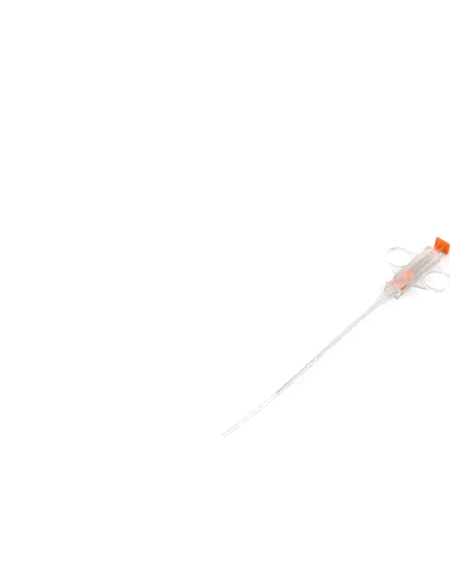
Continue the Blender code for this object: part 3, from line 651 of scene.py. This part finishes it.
def makeShellBase():
    mesh = shellBlock()
    keepSide(mesh, needleHeight - shell["seam"] / 2, above=False)
    base = toObject("handleBase", mesh)
    for sign in (1, -1):
        combine(base, makeWing(sign))
    hollowShell(base)
    ledge = latchLedges
    wall = shell["halfWidth"] - shell["sideWall"]
    sunk = wall + ledge["sink"]
    start = ledge["catch"] - ledge["length"]
    outline = [(start - ledge["ramp"], sunk), (start - ledge["ramp"], wall),
               (start, ledge["inner"]), (ledge["catch"], ledge["inner"]), (ledge["catch"], sunk)]
    foot = needleHeight - pegs["root"]
    top = needleHeight + pegs["height"]
    for sign in (1, -1):
        sided = [(x, sign * y) for x, y in outline]
        combine(base, slab(sided, 2, ledge["low"], ledge["top"]))
        for x in pegs["x"]:
            combine(base, pegBody(x, sign * pegs["y"], foot, top, pegs["radius"]))
    easeEdges(base, shell["edge"])
    smoothShade(base)
    finishPiece(base, clearPlastic, "clear_plastic", "handle", "housing_base")


def makeShellCover():
    s = shell
    mesh = shellBlock()
    keepSide(mesh, needleHeight + s["seam"] / 2, above=True)
    cover = toObject("handleCover", mesh)
    ridge = rod(s["ridgeFront"], s["ridgeRear"], s["ridgeRadius"], s["ridgeSides"])
    ends = edgesAt(ridge, 0, s["ridgeFront"]) + edgesAt(ridge, 0, s["ridgeRear"])
    roundOff(ridge, ends, s["ridgeRound"], s["ridgeSteps"])
    keepSide(ridge, needleHeight + s["ridgeFoot"], above=True)
    combine(cover, ridge)
    hollowShell(cover)
    cutWindows(cover)
    foot = needleHeight - pegs["root"]
    top = needleHeight + pegs["height"] + pegs["endGap"]
    radius = pegs["radius"] + pegs["sideGap"]
    for sign in (1, -1):
        for x in pegs["x"]:
            combine(cover, pegBody(x, sign * pegs["y"], foot, top, radius), "DIFFERENCE")
    easeEdges(cover, s["edge"])
    smoothShade(cover)
    finishPiece(cover, clearPlastic, "clear_plastic", "handle", "housing_cover")


makeShellBase()
makeShellCover()


nose = {
    "tip": -0.039, "tipRadius": 0.0018, "tipRound": 0.0006, "tipShare": 0.3,
    "baseRadius": 0.0043, "baseLength": 0.0020, "neckRadius": 0.0022, "flangeFront": -0.0292,
    "flangeRear": -0.0282, "flangeRadius": 0.0032, "bore": 0.00075, "gap": 0.0001,
    "edge": 0.0001, "sides": 72,
}


def makeNose():
    n = nose
    face = shell["front"] - n["gap"]
    inset = n["tipShare"] * n["tipRound"]
    outline = [
        (n["tip"], n["bore"]), (n["tip"], n["tipRadius"] - n["tipRound"]),
        (n["tip"] + inset, n["tipRadius"] - inset), (n["tip"] + n["tipRound"], n["tipRadius"]),
        (shell["front"] - n["baseLength"], n["baseRadius"]), (face, n["baseRadius"]),
        (face, n["neckRadius"]), (n["flangeFront"], n["neckRadius"]),
        (n["flangeFront"], n["flangeRadius"]), (n["flangeRear"], n["flangeRadius"]),
        (n["flangeRear"], n["bore"]),
    ]
    piece = toObject("needleNose", turned(outline, n["sides"]))
    easeEdges(piece, n["edge"])
    smoothShade(piece)
    finishPiece(piece, clearPlastic, "clear_plastic", "handle", "needle_guide")


sheath = {
    "mouth": -0.0331, "length": 0.2069, "tubeRadius": 0.002005, "mouthRadius": 0.0050,
    "flare": 0.034, "flarePower": 1.5, "wall": 0.0004, "sag": 0.00045, "sagStart": 0.010,
    "sagLength": 0.035, "wander": 0.00055, "wanderLength": 0.160, "bendStart": 0.1615,
    "turn": 0.0044, "low": 0.002055, "sides": 40, "flareSteps": 24, "tubeSteps": 76,
    "probe": 0.0004, "edge": 0.00010, "sharpAngle": 50,
}


def easeInOut(value):
    value = min(max(value, 0.0), 1.0)
    return value * value * (3 - 2 * value)


def sheathCentre(ahead):
    # the tube sags to the table, wanders a little and bends at its far end
    s = sheath
    bend = max(0.0, (ahead - s["bendStart"]) / (s["length"] - s["bendStart"])) ** 2
    sag = s["sag"] * easeInOut((ahead - s["sagStart"]) / s["sagLength"])
    sideways = s["wander"] * easeInOut(ahead / s["flare"])
    sideways *= math.sin(2 * math.pi * (ahead - s["sagStart"]) / s["wanderLength"])
    sideways += s["turn"] * bend
    drop = needleHeight - s["low"] - s["sag"]
    return Vector((s["mouth"] - ahead, sideways, needleHeight - sag - drop * bend))


def sheathRadius(ahead):
    s = sheath
    flare = max(0.0, 1 - ahead / s["flare"]) ** s["flarePower"]
    return s["tubeRadius"] + (s["mouthRadius"] - s["tubeRadius"]) * flare


def makeSheath():
    s = sheath
    tube = s["length"] - s["flare"]
    stations = [s["flare"] * n / s["flareSteps"] for n in range(s["flareSteps"])]
    stations += [s["flare"] + tube * n / s["tubeSteps"] for n in range(s["tubeSteps"] + 1)]
    mesh = bmesh.new()
    loops = []
    for ahead in stations:
        step = sheathCentre(ahead + s["probe"]) - sheathCentre(ahead - s["probe"])
        tangent = step.normalized()
        level = Vector((0, 0, 1)).cross(tangent).normalized()
        turn = Matrix((level, tangent.cross(level), tangent)).transposed().to_4x4()
        place = Matrix.Translation(sheathCentre(ahead)) @ turn
        made = bmesh.ops.create_circle(mesh, cap_ends=False, segments=s["sides"],
                                       radius=sheathRadius(ahead), matrix=place)
        loops.append(list({e for v in made["verts"] for e in v.link_edges}))
    for near, far in zip(loops, loops[1:]):
        bmesh.ops.bridge_loops(mesh, edges=near + far)
    piece = toObject("needleSheath", mesh)
    wall = piece.modifiers.new("wall", "SOLIDIFY")
    wall.thickness = s["wall"]
    wall.offset = -1.0
    wall.use_even_offset = True
    settleModifiers(piece)
    easeEdges(piece, s["edge"], angle=s["sharpAngle"])
    smoothShade(piece, s["sharpAngle"])
    finishPiece(piece, sheathPlastic, "sheath_plastic", "sheath", "sheath")


makeNose()
makeSheath()


needle = {
    "point": -0.1825, "rear": -0.0248, "radius": 0.000635, "wall": 0.00011, "bevel": 32.0,
    "edge": 0.000018, "styletPoint": -0.184, "styletRear": -0.0126, "styletRadius": 0.00045,
    "styletBevel": 24.0, "styletEdge": 0.00002, "notchFront": -0.1808, "notchRear": -0.1725,
    "sides": 40, "sharpAngle": 50, "styletSides": 36, "styletSharpAngle": 40,
}


def pointCutter(point, radius, degrees):
    reach = 2 * radius / math.tan(math.radians(degrees))
    z = needleHeight
    outline = [(point - radius, z - radius), (point, z - radius), (point + reach, z + radius),
               (point + reach, z + 3 * radius), (point - radius, z + 3 * radius)]
    return slab(outline, 1, -2 * radius, 2 * radius)


def makeCannula():
    n = needle
    inner = n["radius"] - n["wall"]
    outline = [(n["point"], inner), (n["point"], n["radius"]),
               (n["rear"], n["radius"]), (n["rear"], inner)]
    piece = toObject("needleTube", turned(outline, n["sides"]))
    combine(piece, pointCutter(n["point"], n["radius"], n["bevel"]), "DIFFERENCE")
    easeEdges(piece, n["edge"], segments=1, angle=n["sharpAngle"])
    smoothShade(piece)
    finishPiece(piece, needleSteel, "needle_steel", "carriage", "cannula")


def makeStylet():
    n = needle
    z = needleHeight
    radius = n["styletRadius"]
    wire = rod(n["styletPoint"], n["styletRear"], radius, n["styletSides"])
    piece = toObject("styletRod", wire)
    combine(piece, pointCutter(n["styletPoint"], radius, n["styletBevel"]), "DIFFERENCE")
    outline = [(n["notchFront"], z), (n["notchRear"] - radius, z),
               (n["notchRear"] + radius, z + 2 * radius),
               (n["notchFront"] - radius, z + 2 * radius)]
    combine(piece, slab(outline, 1, -2 * radius, 2 * radius), "DIFFERENCE")
    easeEdges(piece, n["styletEdge"], segments=1, angle=n["styletSharpAngle"])
    smoothShade(piece)
    finishPiece(piece, needleSteel, "needle_steel", "plunger", "stylet")


makeCannula()
makeStylet()


carriage = {
    "front": -0.0279, "socketRear": -0.0245, "rootFront": -0.0093, "rootRear": -0.0069,
    "ringRear": -0.0047, "pilotRear": -0.0027, "ringRadius": 0.004125, "pilotRadius": 0.0027,
    "rodHole": 0.0018, "tubeHole": 0.00066, "socketHeight": 0.0028, "socketRound": 0.00035,
    "rootHeight": 0.0050, "railInner": 0.0018, "railOuter": 0.0025, "railHeight": 0.0022,
    "edge": 0.00018, "edgeSteps": 3, "socketSteps": 4, "ringSides": 72, "pilotSides": 64,
    "tubeHoleSides": 40, "rodHoleSides": 48,
}
latchArms = {
    "inner": 0.0042, "outer": 0.0052, "front": -0.0267, "toe": 0.0018, "toeRear": -0.0247,
    "toeSlope": 0.001, "top": 0.0092, "topRear": -0.0208, "slopeRear": -0.0152,
    "beamLow": 0.0029, "beamHigh": 0.0050, "rootLap": 0.0012, "padOuter": 0.0059,
    "padLow": 0.0032,
}


def makeCarriage():
    c = carriage
    a = latchArms
    z = needleHeight
    half = c["rootHeight"] / 2
    piece = toObject("carriageFrame", block((c["rootFront"], -a["outer"], z - half),
                                            (c["rootRear"], a["outer"], z + half)))
    for name in ("ring", "pilot"):
        combine(piece, rod(c["rootRear"] - biteForJoin, c[name + "Rear"], c[name + "Radius"],
                           c[name + "Sides"]))
    half = c["socketHeight"] / 2
    socket = block((c["front"], -c["railOuter"], z - half),
                   (c["socketRear"], c["railOuter"], z + half))
    roundOff(socket, edgesAlong(socket, 2), c["socketRound"], c["socketSteps"])
    combine(piece, socket)
    root = c["rootFront"] + a["rootLap"]
    upper = [(a["slopeRear"], a["beamHigh"]), (a["topRear"], a["top"]), (a["front"], a["top"])]
    arm = [(a["front"], a["toe"]), (a["toeRear"], a["toe"]),
           (a["toeRear"] + a["toeSlope"], a["beamLow"]), (root, a["beamLow"]),
           (root, a["beamHigh"]), *upper]
    pad = [(a["front"], a["padLow"]), (a["slopeRear"], a["padLow"]), *upper]
    for sign in (1, -1):
        low, high = sorted((sign * c["railInner"], sign * c["railOuter"]))
        combine(piece, block((c["socketRear"] - biteForJoin, low, z - c["railHeight"] / 2),
                             (c["rootFront"] + biteForJoin, high, z + c["railHeight"] / 2)))
        combine(piece, slab(arm, 1, sign * a["inner"], sign * a["outer"]))
        middle = sign * (a["inner"] + a["outer"]) / 2
        combine(piece, slab(pad, 1, middle, sign * a["padOuter"]))
    for front, rear, name in ((c["front"], c["socketRear"], "tubeHole"),
                              (c["rootFront"], c["pilotRear"], "rodHole")):
        hole = rod(front - overlapForCut, rear + overlapForCut, c[name], c[name + "Sides"])
        combine(piece, hole, "DIFFERENCE")
    easeEdges(piece, c["edge"], segments=c["edgeSteps"])
    smoothShade(piece)
    finishPiece(piece, orangePlastic, "orange_plastic", "carriage", "carriage")


hub = {
    "front": -0.0142, "rear": -0.0096, "halfWidth": 0.0015, "halfHeight": 0.0019,
    "round": 0.0004, "sideGap": 0.00003, "endGap": 0.0001, "steps": 4, "seatSides": 36,
}


def makeHub():
    h = hub
    z = needleHeight
    mesh = block((h["front"], -h["halfWidth"], z - h["halfHeight"]),
                 (h["rear"], h["halfWidth"], z + h["halfHeight"]))
    roundOff(mesh, mesh.edges[:], h["round"], h["steps"])
    piece = toObject("styletHub", mesh)
    seats = ((h["front"] - overlapForCut, needle["styletRear"] + h["endGap"],
              needle["styletRadius"]),
             (plunger["pinFront"] - h["endGap"], h["rear"] + overlapForCut,
              plunger["pinRadius"]))
    for front, rear, radius in seats:
        seat = rod(front, rear, radius + h["sideGap"], h["seatSides"])
        combine(piece, seat, "DIFFERENCE")
    smoothShade(piece)
    finishPiece(piece, orangePlastic, "orange_plastic", "plunger", "stylet_hub")


plunger = {
    "pinFront": -0.0114, "pinRadius": 0.0009, "pinSink": 0.0018, "rodFront": -0.0093,
    "rodRadius": 0.0015, "stemFront": 0.0317, "halfWidth": 0.0030, "halfHeight": 0.0022,
    "pocketWall": 0.0010, "pocketLength": 0.0055, "bite": 0.0008, "round": 0.0005,
    "edge": 0.00014, "steps": 4, "rodSides": 40, "pinSides": 32,
}
thumbPlate = {
    "front": 0.0433, "thickness": 0.0025, "halfWidth": 0.0073, "low": 0.0001, "high": 0.0124,
    "corner": 0.0006, "round": 0.0003, "rim": 0.0013, "recess": 0.0009, "ribs": 5,
    "ribHeight": 0.0004, "ribShare": 0.4, "cornerSteps": 8, "rimSteps": 4, "recessSteps": 5,
}


def makeThumbPlate():
    t = thumbPlate
    rear = t["front"] + t["thickness"]
    plate = block((t["front"], -t["halfWidth"], t["low"]), (rear, t["halfWidth"], t["high"]))
    roundOff(plate, edgesAlong(plate, 0), t["corner"], t["cornerSteps"])
    rims = edgesAt(plate, 0, t["front"]) + edgesAt(plate, 0, rear)
    roundOff(plate, rims, t["round"], t["rimSteps"])
    piece = toObject("plungerStem", plate)
    near = plunger["halfWidth"] + plunger["pocketWall"]
    for sign in (1, -1):
        start, end = sorted((sign * near, sign * (t["halfWidth"] - t["rim"])))
        recess = block((t["front"] - overlapForCut, start, t["low"] + t["rim"]),
                       (t["front"] + t["recess"], end, t["high"] - t["rim"]))
        roundOff(recess, edgesAlong(recess, 0), t["corner"] / 2, t["recessSteps"])
        combine(piece, recess, "DIFFERENCE")
    pitch = (t["high"] - t["low"] - 2 * t["rim"]) / t["ribs"]
    reach = t["halfWidth"] - 2 * t["rim"]
    half = t["ribShare"] * pitch / 2
    for n in range(t["ribs"]):
        middle = t["low"] + t["rim"] + (n + 0.5) * pitch
        combine(piece, block((rear - t["ribHeight"], -reach, middle - half),
                             (rear + t["ribHeight"], reach, middle + half)))
    return piece


def makePlunger():
    p = plunger
    z = needleHeight
    piece = makeThumbPlate()
    stem = block((p["stemFront"], -p["halfWidth"], z - p["halfHeight"]),
                 (thumbPlate["front"] + p["bite"], p["halfWidth"], z + p["halfHeight"]))
    roundOff(stem, edgesAlong(stem, 0), p["round"], p["steps"])
    combine(piece, stem)
    for name, rear in (("rod", p["stemFront"] + p["bite"]), ("pin", p["rodFront"] + p["pinSink"])):
        combine(piece, rod(p[name + "Front"], rear, p[name + "Radius"], p[name + "Sides"]))
    rear = thumbPlate["front"] - p["pocketWall"]
    reach = p["halfWidth"] - p["pocketWall"]
    for low, high in ((z + p["pocketWall"] / 2, z + 2 * p["halfHeight"]),
                      (z - 2 * p["halfHeight"], z - p["pocketWall"] / 2)):
        pocket = block((rear - p["pocketLength"], -reach, low), (rear, reach, high))
        roundOff(pocket, edgesAlong(pocket, 2), p["round"], p["steps"])
        combine(piece, pocket, "DIFFERENCE")
    easeEdges(piece, p["edge"])
    smoothShade(piece)
    finishPiece(piece, orangePlastic, "orange_plastic", "plunger", "plunger")


makeCarriage()
makeHub()
makePlunger()


spring = {
    "front": -0.0044, "rear": 0.0199, "wire": 0.00045, "coilRadius": 0.00345, "coils": 12,
    "closedPitch": 2.1, "steps": 40, "wireSides": 12, "throw": 0.010, "sharpAngle": 60,
}


def makeSpring():
    # a closed coil at each end and open coils between them
    s = spring
    length = s["rear"] - s["front"] - 2 * s["wire"]
    closed = s["closedPitch"] * s["wire"]
    opened = (length - 2 * closed) / (s["coils"] - 2)
    mesh = bmesh.new()
    start = Matrix.Translation((s["front"] + s["wire"], 0, needleHeight + s["coilRadius"]))
    made = bmesh.ops.create_circle(mesh, cap_ends=False, segments=s["wireSides"],
                                   radius=s["wire"],
                                   matrix=start @ Matrix.Rotation(math.pi / 2, 4, "X"))
    end = made["verts"]
    for pitch, turns in ((closed, 1), (opened, s["coils"] - 2), (closed, 1)):
        steps = turns * s["steps"]
        rim = list({e for v in end for e in v.link_edges if all(w in end for w in e.verts)})
        swept = bmesh.ops.spin(mesh, geom=end + rim, cent=(0, 0, needleHeight), axis=(1, 0, 0),
                               dvec=(pitch * turns / steps, 0, 0), angle=2 * math.pi * turns,
                               steps=steps, use_merge=False, use_duplicate=False)
        end = [v for v in swept["geom_last"] if isinstance(v, bmesh.types.BMVert)]
    bmesh.ops.holes_fill(mesh, edges=[e for e in mesh.edges if e.is_boundary], sides=0)
    piece = toObject("driveSpring", mesh)
    smoothShade(piece, s["sharpAngle"])
    finishPiece(piece, springWire, "spring_steel", "handle", "drive_spring")
    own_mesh(piece)


makeSpring()

print("scene done")
